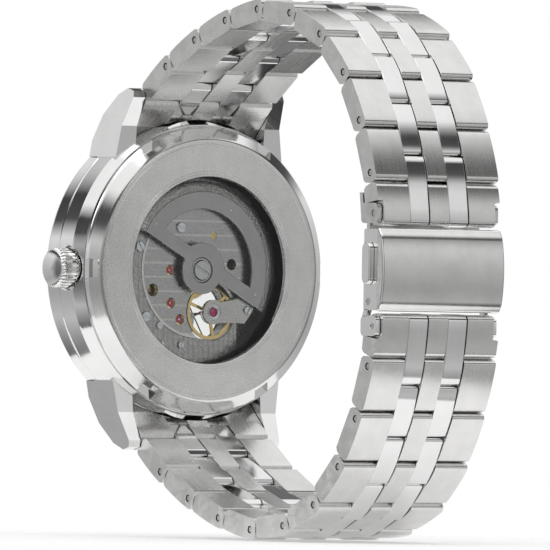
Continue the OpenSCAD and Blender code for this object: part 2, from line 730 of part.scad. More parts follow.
module button_outline(grow) {
    r = 0.95 + grow;
    polygon(concat([for (a = [0 : 30 : 180]) [r * cos(a), 1.95 + r * sin(a)]],
        [for (a = [180 : 30 : 360]) [r * cos(a), -1.95 + r * sin(a)]]));
}
button_out = 11.1;
module button(s) {
    color("lightgray") side() translate([52.4, button_z, s > 0 ? 8.4 : -button_out])
        linear_extrude(button_out - 8.4) button_outline(0);
}
module clasp_button_left() { button(1); }
module clasp_button_right() { button(-1); }
module clasp_cover_pins() {
    color("gray") side() {
        translate([hinge_y, hinge_z]) cross_bar(0.5, 2 * ear_out - 0.1);
        translate([ear_y, -ear_z]) both_sides(ear_in, ear_out - 0.1) circle(r = bar_tip_r);
    }
}
// the blades follow the wrist: a strip whose outer face runs through the given points
function strip(points, t) = concat(points, [for (i = [len(points) - 1 : -1 : 0]) points[i] - [t, 0]]);
module clasp_inner_blade() {
    color("silver") side() difference() {
        union() {
            slab(strip([[51.9, -4.6], [51.3, 0], [50, 5.5], [49.2, 12], [47.6, 16.6], [46.9, 18.6]], 0.8),
                -blade_half, blade_half);
            translate([hinge_y, hinge_z]) cross_bar(knuckle_r, 18);
            translate([top_hinge_y, top_hinge_z]) cross_bar(knuckle_r, 4.8);
        }
        translate([hinge_y, hinge_z]) cross_bar(0.5 + run_gap, 30);
        translate([top_hinge_y, top_hinge_z]) cross_bar(0.5 + fit_gap, 30);
        // the folding blade's fork
        both_sides(2.4, 5) translate([45, 17.7]) square([4, 3]);
    }
}
module clasp_folding_blade() {
    color("lightgray") side() difference() {
        union() {
            slab(strip([[51, 6.6], [50.5, 10.6]], 0.7), -ear_out, ear_out);
            slab(strip([[50.5, 10.5], [50.3, 12.4], [48.5, 17.5]], 0.7), -blade_half, blade_half);
            // tongue that closes the gap under the cover's end
            slab([[50.3, 5.5], [51, 5.5], [51, 6.7], [50.3, 6.7]], -9.4, 9.4);
            // ears round the spring bar
            both_sides(ear_in, ear_out)
                rounded_block(50.2, ear_y + 0.95, ear_z - ear_half, ear_z + ear_half, 0.7);
            // fork round the inner blade's knuckle
            both_sides(2.5, blade_half) {
                translate([top_hinge_y, top_hinge_z]) circle(r = knuckle_r);
                polygon([[top_hinge_y - 0.5, 18.2], [47.8, 17.4], [48.5, 17.4], [top_hinge_y + knuckle_r, 19]]);
            }
        }
        translate([top_hinge_y, top_hinge_z]) cross_bar(0.5 + run_gap, 30);
        translate([ear_y, ear_z]) cross_bar(bar_tip_r + run_gap, 30);
    }
}
module clasp_blade_pin() { color("gray") side() translate([top_hinge_y, top_hinge_z]) cross_bar(0.5, 7.6); }

case_middle();
bezel();
front_crystal();
case_back();
back_crystal();
back_gasket();
movement_holder();
crown_tube();
crown();
crown_stem();
crown_gasket();
dial();
hour_markers();
main_plate();
train_bridge();
balance_cock();
bridge_screws();
jewels();
mainspring_barrel();
center_wheel();
third_wheel();
fourth_wheel();
escape_wheel();
pallet_fork();
balance_wheel();
hairspring();
rotor();
rotor_bearing();
hour_hand();
minute_hand();
seconds_hand();
end_links();
lug_spring_bars();
mirrored(true) bracelet_link(1);  // link_upper_01
mirrored(true) bracelet_link(2);  // link_upper_02
mirrored(true) bracelet_link(3);  // link_upper_03
mirrored(true) bracelet_link(4);  // link_upper_04
mirrored(true) bracelet_link(5);  // link_upper_05
mirrored(true) bracelet_link(6);  // link_upper_06
mirrored(true) bracelet_link(7);  // link_upper_07
mirrored(true) bracelet_link(8);  // link_upper_08
mirrored(true) bracelet_link(9);  // link_upper_09
mirrored(true) bracelet_link(10, true);  // link_upper_10
mirrored(false) bracelet_link(1);  // link_lower_01
mirrored(false) bracelet_link(2);  // link_lower_02
mirrored(false) bracelet_link(3);  // link_lower_03
mirrored(false) bracelet_link(4);  // link_lower_04
mirrored(false) bracelet_link(5);  // link_lower_05
mirrored(false) bracelet_link(6);  // link_lower_06
mirrored(false) bracelet_link(7);  // link_lower_07
mirrored(false) bracelet_link(8);  // link_lower_08
mirrored(false) bracelet_link(9);  // link_lower_09
mirrored(false) bracelet_link(10);  // link_lower_10
clasp_cover();
clasp_button_left();
clasp_button_right();
clasp_inner_blade();
clasp_folding_blade();
clasp_cover_pins();
clasp_blade_pin();
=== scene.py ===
import bpy
import bmesh
import json
import math
from mathutils import Matrix, Vector


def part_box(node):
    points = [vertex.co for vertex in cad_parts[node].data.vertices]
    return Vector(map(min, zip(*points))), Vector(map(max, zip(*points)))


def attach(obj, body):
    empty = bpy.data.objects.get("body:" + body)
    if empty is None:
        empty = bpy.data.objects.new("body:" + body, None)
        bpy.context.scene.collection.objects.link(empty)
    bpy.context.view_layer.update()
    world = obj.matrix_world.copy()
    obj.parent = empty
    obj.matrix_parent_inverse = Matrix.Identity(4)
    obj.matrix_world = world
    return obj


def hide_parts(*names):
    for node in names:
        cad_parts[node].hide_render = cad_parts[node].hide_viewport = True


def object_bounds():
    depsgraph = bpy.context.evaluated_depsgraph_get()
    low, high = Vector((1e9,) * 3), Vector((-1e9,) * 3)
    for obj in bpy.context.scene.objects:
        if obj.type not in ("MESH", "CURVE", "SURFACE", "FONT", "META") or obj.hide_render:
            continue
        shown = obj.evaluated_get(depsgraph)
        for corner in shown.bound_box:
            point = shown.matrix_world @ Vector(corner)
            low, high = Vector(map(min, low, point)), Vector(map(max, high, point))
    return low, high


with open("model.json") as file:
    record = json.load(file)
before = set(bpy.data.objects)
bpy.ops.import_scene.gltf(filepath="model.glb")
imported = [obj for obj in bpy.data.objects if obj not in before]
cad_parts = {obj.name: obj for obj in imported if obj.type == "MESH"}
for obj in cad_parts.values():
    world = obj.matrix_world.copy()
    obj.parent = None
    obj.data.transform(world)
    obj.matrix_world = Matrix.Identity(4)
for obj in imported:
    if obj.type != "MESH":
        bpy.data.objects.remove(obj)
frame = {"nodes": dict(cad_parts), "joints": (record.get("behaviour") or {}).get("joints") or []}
rest_lo, rest_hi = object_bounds()
nodes = frame["nodes"]
MM = 0.001
BALANCE_AT = (-2.6, -5.9)   # the balance's axis, (x, z)
WATCH_CENTRE = Vector((0, 0.02, 0))
FLOOR_RADIUS, FLOOR_DROP, FLOOR_SIDES = 0.07, 0.0002, 96

# ------------------------------------------------------------------ materials


def link_to(nt, value, socket):
    if isinstance(value, bpy.types.NodeSocket):
        nt.links.new(value, socket)
    else:
        socket.default_value = value


def math_node(nt, op, a, b=0.0):
    n = nt.nodes.new("ShaderNodeMath")
    n.operation = op
    link_to(nt, a, n.inputs[0])
    link_to(nt, b, n.inputs[1])
    return n.outputs[0]


def combine(nt, x, y, z):
    n = nt.nodes.new("ShaderNodeCombineXYZ")
    for value, socket in zip((x, y, z), n.inputs):
        link_to(nt, value, socket)
    return n.outputs[0]


def noise(nt, vector, scale=1.0, detail=3.0):
    n = nt.nodes.new("ShaderNodeTexNoise")
    n.inputs["Scale"].default_value = scale
    n.inputs["Detail"].default_value = detail
    nt.links.new(vector, n.inputs["Vector"])
    return n.outputs["Fac"]


def remap(nt, value, a, b, lo, hi):
    n = nt.nodes.new("ShaderNodeMapRange")
    nt.links.new(value, n.inputs["Value"])
    for socket, v in zip(("From Min", "From Max", "To Min", "To Max"), (a, b, lo, hi)):
        n.inputs[socket].default_value = v
    return n.outputs["Result"]


def coords(nt):
    """Object coordinates in millimetres, split."""
    tc = nt.nodes.new("ShaderNodeTexCoord")
    scale = nt.nodes.new("ShaderNodeVectorMath")
    scale.operation = "SCALE"
    scale.inputs["Scale"].default_value = 1000.0
    nt.links.new(tc.outputs["Object"], scale.inputs[0])
    sep = nt.nodes.new("ShaderNodeSeparateXYZ")
    nt.links.new(scale.outputs[0], sep.inputs[0])
    return scale.outputs[0], sep.outputs


def polar(nt, sep, centre):
    """Radius and unit direction round an axis along Y through centre (x, z)."""
    x = math_node(nt, "SUBTRACT", sep[0], centre[0])
    z = math_node(nt, "SUBTRACT", sep[2], centre[1])
    sq = math_node(nt, "ADD", math_node(nt, "MULTIPLY", x, x), math_node(nt, "MULTIPLY", z, z))
    r = math_node(nt, "SQRT", sq)
    safe = math_node(nt, "MAXIMUM", r, 0.01)
    return r, math_node(nt, "DIVIDE", x, safe), math_node(nt, "DIVIDE", z, safe), x, z


def material(name, color, rough, metal=1.0, brush="iso", lines=20.0, depth=0.5, vary=0.3,
             stain=0.06, aniso=0.0, centre=(0.0, 0.0), pattern=None, coat=0.0, spec=0.5):
    """Metal, plastic or lacquer with brushing, patches of wear and fine relief."""
    m = bpy.data.materials.new(name)
    m.use_nodes = True
    nt = m.node_tree
    b = nt.nodes["Principled BSDF"]
    b.inputs["Metallic"].default_value = metal
    b.inputs["Coat Weight"].default_value = coat
    b.inputs["Specular IOR Level"].default_value = spec
    b.inputs["Anisotropic"].default_value = aniso
    vec, sep = coords(nt)
    tangent = None
    if brush == "x":      # lines run across X's normal plane, so they vary along X
        v = combine(nt, math_node(nt, "MULTIPLY", sep[0], lines), math_node(nt, "MULTIPLY", sep[1], 0.12),
                    math_node(nt, "MULTIPLY", sep[2], 0.12))
        tangent = combine(nt, 1.0, 0.0, 0.0)
    elif brush == "z":    # lines along X
        v = combine(nt, math_node(nt, "MULTIPLY", sep[0], 0.12), math_node(nt, "MULTIPLY", sep[1], lines),
                    math_node(nt, "MULTIPLY", sep[2], lines))
        tangent = combine(nt, 0.0, 0.0, 1.0)
    elif brush == "ring":
        r, ux, uz, x, z = polar(nt, sep, centre)
        v = combine(nt, math_node(nt, "MULTIPLY", r, lines), math_node(nt, "MULTIPLY", ux, 1.4),
                    math_node(nt, "MULTIPLY", uz, 1.4))
        tangent = combine(nt, ux, 0.0, uz)
    elif brush == "sun":
        r, ux, uz, x, z = polar(nt, sep, centre)
        v = combine(nt, math_node(nt, "MULTIPLY", ux, lines), math_node(nt, "MULTIPLY", uz, lines), 0.0)
    else:
        sc = nt.nodes.new("ShaderNodeVectorMath")
        sc.operation = "SCALE"
        sc.inputs["Scale"].default_value = lines
        nt.links.new(vec, sc.inputs[0])
        v = sc.outputs[0]
    streak = noise(nt, v, 1.0, 2.0)
    patch = noise(nt, vec, 0.35, 5.0)
    scratch = noise(nt, vec, 3.0, 6.0)
    # colour: the base, a little darker and lighter in patches
    mix = nt.nodes.new("ShaderNodeMix")
    mix.data_type = "RGBA"
    mix.inputs[6].default_value = (*[c * (1 - stain) for c in color], 1)
    mix.inputs[7].default_value = (*[min(1, c * (1 + stain)) for c in color], 1)
    blend = math_node(nt, "ADD", math_node(nt, "MULTIPLY", patch, 0.6), math_node(nt, "MULTIPLY", streak, 0.4))
    nt.links.new(remap(nt, blend, 0.35, 0.65, 0.0, 1.0), mix.inputs[0])
    base = mix.outputs[2]
    height = streak
    if pattern:
        base, height = pattern(nt, vec, sep, base, streak)
    nt.links.new(base, b.inputs["Base Color"])
    both = math_node(nt, "ADD", math_node(nt, "MULTIPLY", streak, 0.65), math_node(nt, "MULTIPLY", scratch, 0.35))
    nt.links.new(remap(nt, both, 0.3, 0.7, rough * (1 - vary), rough * (1 + vary)), b.inputs["Roughness"])
    bump = nt.nodes.new("ShaderNodeBump")
    bump.inputs["Strength"].default_value = depth
    bump.inputs["Distance"].default_value = 0.00002
    link_to(nt, height, bump.inputs["Height"])
    nt.links.new(bump.outputs[0], b.inputs["Normal"])
    if aniso and tangent is not None:
        vt = nt.nodes.new("ShaderNodeVectorTransform")
        vt.vector_type = "VECTOR"
        vt.convert_from = "OBJECT"
        vt.convert_to = "WORLD"
        nt.links.new(tangent, vt.inputs[0])
        nt.links.new(vt.outputs[0], b.inputs["Tangent"])
    return m


def stripes(nt, vec, sep, base, streak):
    """Straight striping: bands two millimetres wide, each with a soft slope and a painted highlight along its ridge."""
    t = math_node(nt, "FRACT", math_node(nt, "MULTIPLY", math_node(nt, "ADD", sep[2], 50.9), 0.5))
    # painted highlight: each band's ridge is mixed towards near white
    ridge_highlight = remap(nt, t, 0.82, 0.97, 0.0, 1.0)
    mix = nt.nodes.new("ShaderNodeMix")
    mix.data_type = "RGBA"
    nt.links.new(math_node(nt, "MULTIPLY", ridge_highlight, 0.9), mix.inputs[0])
    nt.links.new(base, mix.inputs[6])
    mix.inputs[7].default_value = (0.93, 0.92, 0.88, 1)
    # painted highlight: the chamfer round the bridge is coloured near white
    r, ux, uz, x, z = polar(nt, sep, (0.0, 0.0))
    edge = nt.nodes.new("ShaderNodeMix")
    edge.data_type = "RGBA"
    nt.links.new(remap(nt, r, 9.2, 9.3, 0.0, 1.0), edge.inputs[0])
    nt.links.new(mix.outputs[2], edge.inputs[6])
    edge.inputs[7].default_value = (0.97, 0.97, 0.96, 1)
    h = math_node(nt, "ADD", math_node(nt, "MULTIPLY", t, 9.0), math_node(nt, "MULTIPLY", streak, 0.5))
    return edge.outputs[2], h


def pearls(nt, vec, sep, base, streak):
    """Pearling: overlapping round spots about a millimetre across."""
    v = nt.nodes.new("ShaderNodeTexVoronoi")
    v.inputs["Scale"].default_value = 1.15
    v.inputs["Randomness"].default_value = 0.25
    nt.links.new(vec, v.inputs["Vector"])
    d = v.outputs["Distance"]
    swirl = math_node(nt, "SINE", math_node(nt, "MULTIPLY", d, 60.0))
    mix = nt.nodes.new("ShaderNodeMix")
    mix.data_type = "RGBA"
    nt.links.new(remap(nt, d, 0.1, 0.6, 0.0, 0.5), mix.inputs[0])
    nt.links.new(base, mix.inputs[6])
    mix.inputs[7].default_value = (0.34, 0.33, 0.31, 1)
    h = math_node(nt, "ADD", math_node(nt, "MULTIPLY", d, 3.0), math_node(nt, "MULTIPLY", swirl, 0.2))
    return mix.outputs[2], h


def grains(nt, vec, sep, base, streak):
    """Rotor weight: fine round grains, over the brushing."""
    r, ux, uz, x, z = polar(nt, sep, (0.0, 0.0))
    outer = remap(nt, r, 11.0, 11.2, 0.0, 1.0)
    v = nt.nodes.new("ShaderNodeTexVoronoi")
    v.inputs["Scale"].default_value = 4.5
    nt.links.new(vec, v.inputs["Vector"])
    g = math_node(nt, "MULTIPLY", v.outputs["Distance"], outer)
    mix = nt.nodes.new("ShaderNodeMix")
    mix.data_type = "RGBA"
    nt.links.new(outer, mix.inputs[0])
    nt.links.new(base, mix.inputs[6])
    mix.inputs[7].default_value = (0.86, 0.86, 0.85, 1)
    return mix.outputs[2], math_node(nt, "ADD", math_node(nt, "MULTIPLY", g, 7.0), streak)


def fine_rings(nt, vec, sep, base, streak):
    """Turned grooves near the window, over the brushing."""
    r, ux, uz, x, z = polar(nt, sep, (0.0, 0.0))
    wave = math_node(nt, "SINE", math_node(nt, "MULTIPLY", r, 26.0))
    inside = remap(nt, r, 14.4, 14.6, 1.0, 0.0)
    h = math_node(nt, "ADD", math_node(nt, "MULTIPLY", math_node(nt, "MULTIPLY", wave, inside), 0.6),
                  math_node(nt, "MULTIPLY", streak, 1.2))
    return base, h


STEEL = (0.79, 0.785, 0.775)
POLISH = (0.86, 0.86, 0.855)
M = {
    "case": material("case_polish", POLISH, 0.09, brush="ring", lines=5, depth=0.06, stain=0.03),
    "back": material("back_brushed", (0.80, 0.80, 0.79), 0.27, brush="ring", lines=24, depth=0.08, vary=0.15, aniso=0.6,
                     pattern=fine_rings),
    "back_edge": material("back_cone", POLISH, 0.12, brush="ring", lines=9, depth=0.12, stain=0.03),
    "brushed": material("link_brushed", STEEL, 0.25, brush="x", lines=26, depth=0.07, vary=0.15, aniso=0.5),
    "polished": material("link_polished", POLISH, 0.1, brush="x", lines=9, depth=0.12, stain=0.03),
    "endlink": material("end_link_satin", STEEL, 0.24, brush="x", lines=26, depth=0.08, aniso=0.4),
    "cover": material("cover_brushed", (0.80, 0.795, 0.785), 0.22, brush="x", lines=26, depth=0.07, vary=0.15,
                      aniso=0.6),
    "blade": material("blade_satin", STEEL, 0.3, brush="x", lines=18, depth=0.5, aniso=0.5),
    "pin": material("pin_turned", (0.6, 0.6, 0.6), 0.25, brush="x", lines=14, depth=0.4),
    "screw": material("screw_polish", (0.78, 0.8, 0.84), 0.12, brush="iso", lines=6, depth=0.15),
    "bearing": material("bearing_steel", (0.62, 0.62, 0.63), 0.2, brush="ring", lines=14, depth=0.4),
    "rotor": material("rotor_web", (0.60, 0.60, 0.60), 0.38, brush="iso", lines=14, depth=0.3, vary=0.2),
    "weight": material("rotor_weight", (0.82, 0.82, 0.81), 0.3, brush="ring", lines=6, depth=0.6, pattern=grains),
    "bridge": material("bridge_striped", (0.60, 0.60, 0.605), 0.27, brush="z", lines=18, depth=0.6, pattern=stripes),
    "plate": material("plate_pearled", (0.66, 0.66, 0.655), 0.28, brush="iso", lines=6, depth=0.5, pattern=pearls),
    "cock": material("cock_satin", (0.66, 0.66, 0.64), 0.25, brush="z", lines=16, depth=0.5),
    "gilt": material("gilt_brass", (0.83, 0.62, 0.27), 0.25, brush="iso", lines=10, depth=0.5, stain=0.1),
    "balance": material("gilt_balance", (0.90, 0.67, 0.30), 0.16, brush="ring", lines=16, depth=0.3,
                        centre=BALANCE_AT, stain=0.08),
    "spring": material("hairspring_alloy", (0.30, 0.33, 0.40), 0.3, brush="iso", lines=12, depth=0.2),
    "escape": material("escapement_steel", (0.75, 0.75, 0.76), 0.14, brush="iso", lines=12, depth=0.3),
    "rubber": material("black_rubber", (0.02, 0.02, 0.021), 0.6, metal=0, brush="iso", lines=14, depth=0.5, stain=0.3),
    "holder": material("holder_plastic", (0.05, 0.05, 0.05), 0.45, metal=0, brush="iso", lines=9, depth=0.4, stain=0.2),
    "dial": material("dial_lacquer", (0.03, 0.045, 0.10), 0.3, metal=0.6, brush="sun", lines=40, depth=0.2, coat=0.6,
                     stain=0.25),
    "hands": material("hand_rhodium", (0.85, 0.85, 0.86), 0.13, brush="iso", lines=9, depth=0.2),
}


def glass(name, tint):
    """Clear cover glass: sees through, with a reflection that grows at grazing angles."""
    m = bpy.data.materials.new(name)
    m.use_nodes = True
    nt = m.node_tree
    nt.nodes.remove(nt.nodes["Principled BSDF"])
    out = nt.nodes["Material Output"]
    clear = nt.nodes.new("ShaderNodeBsdfTransparent")
    clear.inputs["Color"].default_value = (*tint, 1)
    gloss = nt.nodes.new("ShaderNodeBsdfGlossy")
    vec, sep = coords(nt)
    nt.links.new(remap(nt, noise(nt, vec, 0.5, 5.0), 0.3, 0.7, 0.01, 0.06), gloss.inputs["Roughness"])
    fres = nt.nodes.new("ShaderNodeFresnel")
    fres.inputs["IOR"].default_value = 1.35
    mix = nt.nodes.new("ShaderNodeMixShader")
    nt.links.new(fres.outputs[0], mix.inputs[0])
    nt.links.new(clear.outputs[0], mix.inputs[1])
    nt.links.new(gloss.outputs[0], mix.inputs[2])
    nt.links.new(mix.outputs[0], out.inputs["Surface"])
    return m


def ruby():
    m = material("ruby", (0.62, 0.01, 0.13), 0.12, metal=0, brush="iso", lines=5, depth=0.1, stain=0.25, coat=1.0)
    # painted glow: the jewels get a faint red emission of their own, though they are no lamp
    m.node_tree.nodes["Principled BSDF"].inputs["Emission Color"].default_value = (0.5, 0.0, 0.1, 1)
    m.node_tree.nodes["Principled BSDF"].inputs["Emission Strength"].default_value = 0.12
    return m


M["glass"] = glass("cover_glass", (0.97, 0.975, 0.97))
M["ruby"] = ruby()


def dress(node, key):
    o = nodes[node]
    o.data.materials.clear()
    o.data.materials.append(M[key])


for key, names in {
    "case": ("case_middle", "bezel", "crown_tube"),
    "back": ("case_back",),
    "glass": ("front_crystal", "back_crystal"),
    "rubber": ("back_gasket", "crown_gasket"),
    "holder": ("movement_holder",),
    "dial": ("dial",),
    "hands": ("hour_markers", "hour_hand", "minute_hand", "seconds_hand"),
    "plate": ("main_plate",),
    "bridge": ("train_bridge",),
    "cock": ("balance_cock",),
    "screw": ("bridge_screws",),
    "ruby": ("jewels",),
    "bearing": ("rotor_bearing", "crown_stem"),
    "gilt": ("mainspring_barrel", "center_wheel", "third_wheel", "fourth_wheel"),
    "escape": ("escape_wheel", "pallet_fork"),
    "balance": ("balance_wheel",),
    "spring": ("hairspring",),
    "rotor": ("rotor",),
    "endlink": ("end_links",),
    "pin": ("lug_spring_bars", "clasp_cover_pins", "clasp_blade_pin"),
    "blade": ("clasp_inner_blade", "clasp_folding_blade"),
    "cover": ("clasp_cover",),
    "polished": ("crown", "clasp_button_left", "clasp_button_right"),
}.items():
    for n in names:
        dress(n, key)

# ------------------------------------------------------------------ mesh tools


def finish_mesh(bm, name, mats, body, replaces=(), bevel=0.0, sharp=32, edge=None):
    me = bpy.data.meshes.new(name)
    bmesh.ops.recalc_face_normals(bm, faces=bm.faces)
    bm.to_mesh(me)
    bm.free()
    me.polygons.foreach_set("use_smooth", [True] * len(me.polygons))
    me.set_sharp_from_angle(angle=math.radians(sharp))
    for m in mats:
        me.materials.append(m)
    o = bpy.data.objects.new(name, me)
    bpy.context.scene.collection.objects.link(o)
    if bevel:
        b = o.modifiers.new("edges", "BEVEL")
        b.width = bevel * MM
        b.segments = 2
        b.limit_method = "ANGLE"
        b.angle_limit = math.radians(35)
        b.harden_normals = True
        if edge:
            me.materials.append(edge)
            b.material = len(me.materials) - 1
    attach(o, body)
    if replaces:
        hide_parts(*replaces)
    return o


def prism(bm, loops, place, a, b, mat=0):
    """Flat outline (first loop) with holes (the others), drawn from a to b along the third direction."""
    rings = []
    for w in (a, b):
        ring = [[bm.verts.new(Vector(place(u, v, w)) * MM) for u, v in loop] for loop in loops]
        edges = []
        for vs in ring:
            edges += [bm.edges.new((vs[i], vs[(i + 1) % len(vs)])) for i in range(len(vs))]
        if len(loops) == 1:
            faces = [bm.faces.new(ring[0])]
        else:
            faces = [f for f in bmesh.ops.triangle_fill(bm, use_beauty=True, edges=edges)["geom"]
                     if isinstance(f, bmesh.types.BMFace)]
        for f in faces:
            f.material_index = mat
        rings.append(ring)
    for lo, hi in zip(*rings):
        for i in range(len(lo)):
            j = (i + 1) % len(lo)
            bm.faces.new((lo[i], lo[j], hi[j], hi[i])).material_index = mat


def arc(cu, cv, r, a0, a1, n):
    return [(cu + r * math.cos(math.radians(a0 + (a1 - a0) * k / n)),
             cv + r * math.sin(math.radians(a0 + (a1 - a0) * k / n))) for k in range(n + 1)]


def side(u, v, w):
    """Side view: u is Y, v is Z, w is X."""
    return (w, u, v)


# ------------------------------------------------------------------ bracelet

joint_at = {j["name"]: Vector(j["pos_m"]) / MM for j in frame["joints"] if "pos_m" in j}
TOP, BOTTOM, BACK, PITCH, GAP = 1.3, 1.7, 1.4, 7.7, 0.06
OUTER, INNER, SIDE = 0.26, 0.16, 0.08
WIDTH_CASE, TAPER = 22, 1.1


def row_outline(u0, u1):
    crown = [(u0 + 0.7 + (u1 - u0 - 1.4) * k / 8, TOP + 0.12 * (1 - (k / 4 - 1) ** 2)) for k in range(7, 0, -1)]
    return ([(u0 + 0.7, -BOTTOM), (u1 - 0.7, -BOTTOM), (u1 - 0.3, -1.3), (u1, -0.2)]
            + arc(u1 - 0.7, TOP - 0.7, 0.7, 0, 90, 6) + crown
            + arc(u0 + 0.7, TOP - 0.7, 0.7, 90, 180, 6) + [(u0, -0.2), (u0 + 0.3, -1.3)])


ROW0, ROW1 = BACK + GAP, PITCH + BACK - GAP
MID0, MID1 = BACK - PITCH / 2 + GAP, BACK + PITCH / 2 - GAP
MID = ([(MID0 + 0.8, -1.5), (MID1 - 0.6, -1.6), (MID1, -1.1)] + arc(MID1 - 0.6, 0.55, 0.6, 0, 80, 5)
       + [(3.0, 1.24), (1.5, 1.28), (0.0, 1.2), (MID0 + 1, 1.0)] + arc(MID0 + 0.55, 0.35, 0.55, 110, 180, 4)
       + [(MID0, -0.2), (MID0 + 0.3, -1.0)])
LAST = 5.6
END = LAST + 1.75
LONG = ([(MID0 + 0.8, -1.5), (END - 0.6, -1.5), (END, -0.9), (END, 0.6), (END - 0.15, 0.9), (END - 0.4, 1.12),
         (END - 0.8, 1.22), (5.0, 1.27), (3.0, 1.27), (1.5, 1.28), (0.0, 1.2), (MID0 + 1, 1.0)]
        + arc(MID0 + 0.55, 0.35, 0.55, 110, 180, 4) + [(MID0, -0.2), (MID0 + 0.3, -1.0)])
EAR_IN, EAR_OUT, EAR_HALF = 9.65, 10.35, 1.4

for half, sign in (("upper", 1), ("lower", -1)):
    for i in range(1, 11):
        name = f"link_{half}_{i:02d}"
        here = joint_at[f"{name}_hinge"]
        if i < 10:
            there = joint_at[f"link_{half}_{i + 1:02d}_hinge"]
        else:
            ear = joint_at["folding_blade_hinge"]
            there = Vector((0, ear.y, sign * ear.z))
        along = Vector((0, there.y - here.y, sign * (there.z - here.z))).normalized()
        lo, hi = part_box(name)
        w = WIDTH_CASE - TAPER * i / 10

        def place(u, v, x, here=here, along=along, sign=sign):
            y = here.y + along.y * u - along.z * v
            z = sign * here.z + along.z * u + along.y * v
            return (x, y, sign * z)

        a = w * (0.5 - OUTER)
        c = w * INNER / 2
        bm = bmesh.new()
        outline = row_outline(ROW0, ROW1 if i < 10 else END)
        if i < 10:
            hole = arc(PITCH, 0, 0.52, 0, 345, 23)
            prism(bm, [outline, hole], place, a + SIDE / 2, w / 2)
            prism(bm, [outline, hole], place, -w / 2, -a - SIDE / 2)
        else:
            cut = LAST - EAR_HALF - 0.2
            short = [(min(u, cut), v) for u, v in outline]
            keep = []
            for p in short:
                if not keep or (Vector(p) - Vector(keep[-1])).length > 0.02:
                    keep.append(p)
            for s in (-1, 1):
                lo_x, hi_x = sorted((s * (a + SIDE / 2), s * (EAR_IN - 0.1)))
                prism(bm, [outline], place, lo_x, hi_x)
                lo_x, hi_x = sorted((s * (EAR_IN - 0.1), s * w / 2))
                prism(bm, [keep], place, lo_x, hi_x)
        prism(bm, [outline], place, -c + SIDE / 2, c - SIDE / 2)
        finish_mesh(bm, f"{name}_brushed", [M["brushed"]], name, (name,), bevel=0.12,
                    edge=M["polished"])
        bm = bmesh.new()
        for s in (-1, 1):
            lo_x, hi_x = sorted((s * (c + SIDE / 2), s * (a - SIDE / 2)))
            prism(bm, [MID if i < 10 else LONG], place, lo_x, hi_x)
        finish_mesh(bm, f"{name}_polished", [M["polished"]], name, (), bevel=0.13)
        bm = bmesh.new()
        reach = w / 2 - 0.12
        if i < 10:
            prism(bm, [arc(PITCH, 0, 0.38, 0, 345, 23)], place, -reach, reach)
        else:
            prism(bm, [arc(LAST, 0, 0.72, 0, 345, 23)], place, -EAR_IN + 0.1, EAR_IN - 0.1)
            if half == "upper":
                prism(bm, [arc(LAST, 0, 0.44, 0, 345, 23)], place, -EAR_OUT + 0.1, EAR_OUT - 0.1)
        prism(bm, [arc(3.3, 0, 0.4, 0, 345, 23)], place, -a - 1.4, a + 1.4)
        finish_mesh(bm, f"{name}_pins", [M["pin"]], name, (), bevel=0.05)

# ------------------------------------------------------------------ clasp cover

ear = joint_at["folding_blade_hinge"]
hinge = joint_at["clasp_cover_hinge"]
ey, ez = ear.y, ear.z
H = 5.75
bm = bmesh.new()
face = [(ey + 0.9, -H), (ey + 1.5, -H)]
face += [(ey + 2.6 - 0.62 * (z / 5.2) ** 2 - 0.35 * max(0, abs(z) - 4.6), z)
         for z in [-5.45 + 10.9 * k / 26 for k in range(27)]]
face += [(ey + 1.5, H), (ey + 0.9, H)]
prism(bm, [face], side, -10.45, 10.45)
finish_mesh(bm, "clasp_cover_plate", [M["cover"]], "clasp_cover", ("clasp_cover",), bevel=0.3,
            edge=M["polished"])


def rounded(y0, y1, z0, z1, r, n=5):
    return (arc(y1 - r, z1 - r, r, 0, 90, n) + arc(y0 + r, z1 - r, r, 90, 180, n)
            + arc(y0 + r, z0 + r, r, 180, 270, n) + arc(y1 - r, z0 + r, r, 270, 360, n))


def pill(cy, cz, r, half):
    return arc(cy, cz + half, r, 0, 180, 12) + arc(cy, cz - half, r, 180, 360, 12)


bm = bmesh.new()
for s in (-1, 1):
    lo_x, hi_x = sorted((s * (EAR_IN - 0.1), s * EAR_OUT))
    prism(bm, [rounded(51, ey + 1, -H + 0.15, H - 0.15, 0.3), pill(52.4, 0.85, 1.03, 1.95),
               arc(hinge.y, hinge.z, 0.52, 0, 345, 23)], side, lo_x, hi_x)
    lo_x, hi_x = sorted((s * EAR_IN, s * EAR_OUT))
    prism(bm, [rounded(50.4, 54, -ez - EAR_HALF, -ez + EAR_HALF, 0.7), arc(ey, -ez, 0.47, 0, 345, 23)],
          side, lo_x, hi_x)
    prism(bm, [[(50.7, -ez + 1.3), (51.7, -ez + 1.3), (52.1, -5.5), (51.1, -5.5)]], side, lo_x, hi_x)
finish_mesh(bm, "clasp_cover_walls", [M["polished"]], "clasp_cover", (), bevel=0.1)

for nm, s in (("left", 1), ("right", -1)):
    bm = bmesh.new()
    lo_x, hi_x = sorted((s * 8.4, s * 11.1))
    prism(bm, [pill(52.4, 0.85, 0.95, 1.95)], side, lo_x, hi_x)
    finish_mesh(bm, f"clasp_button_{nm}_cap", [M["polished"]], f"button_{nm}",
                (f"clasp_button_{nm}",), bevel=0.22)

# ------------------------------------------------------------------ crown

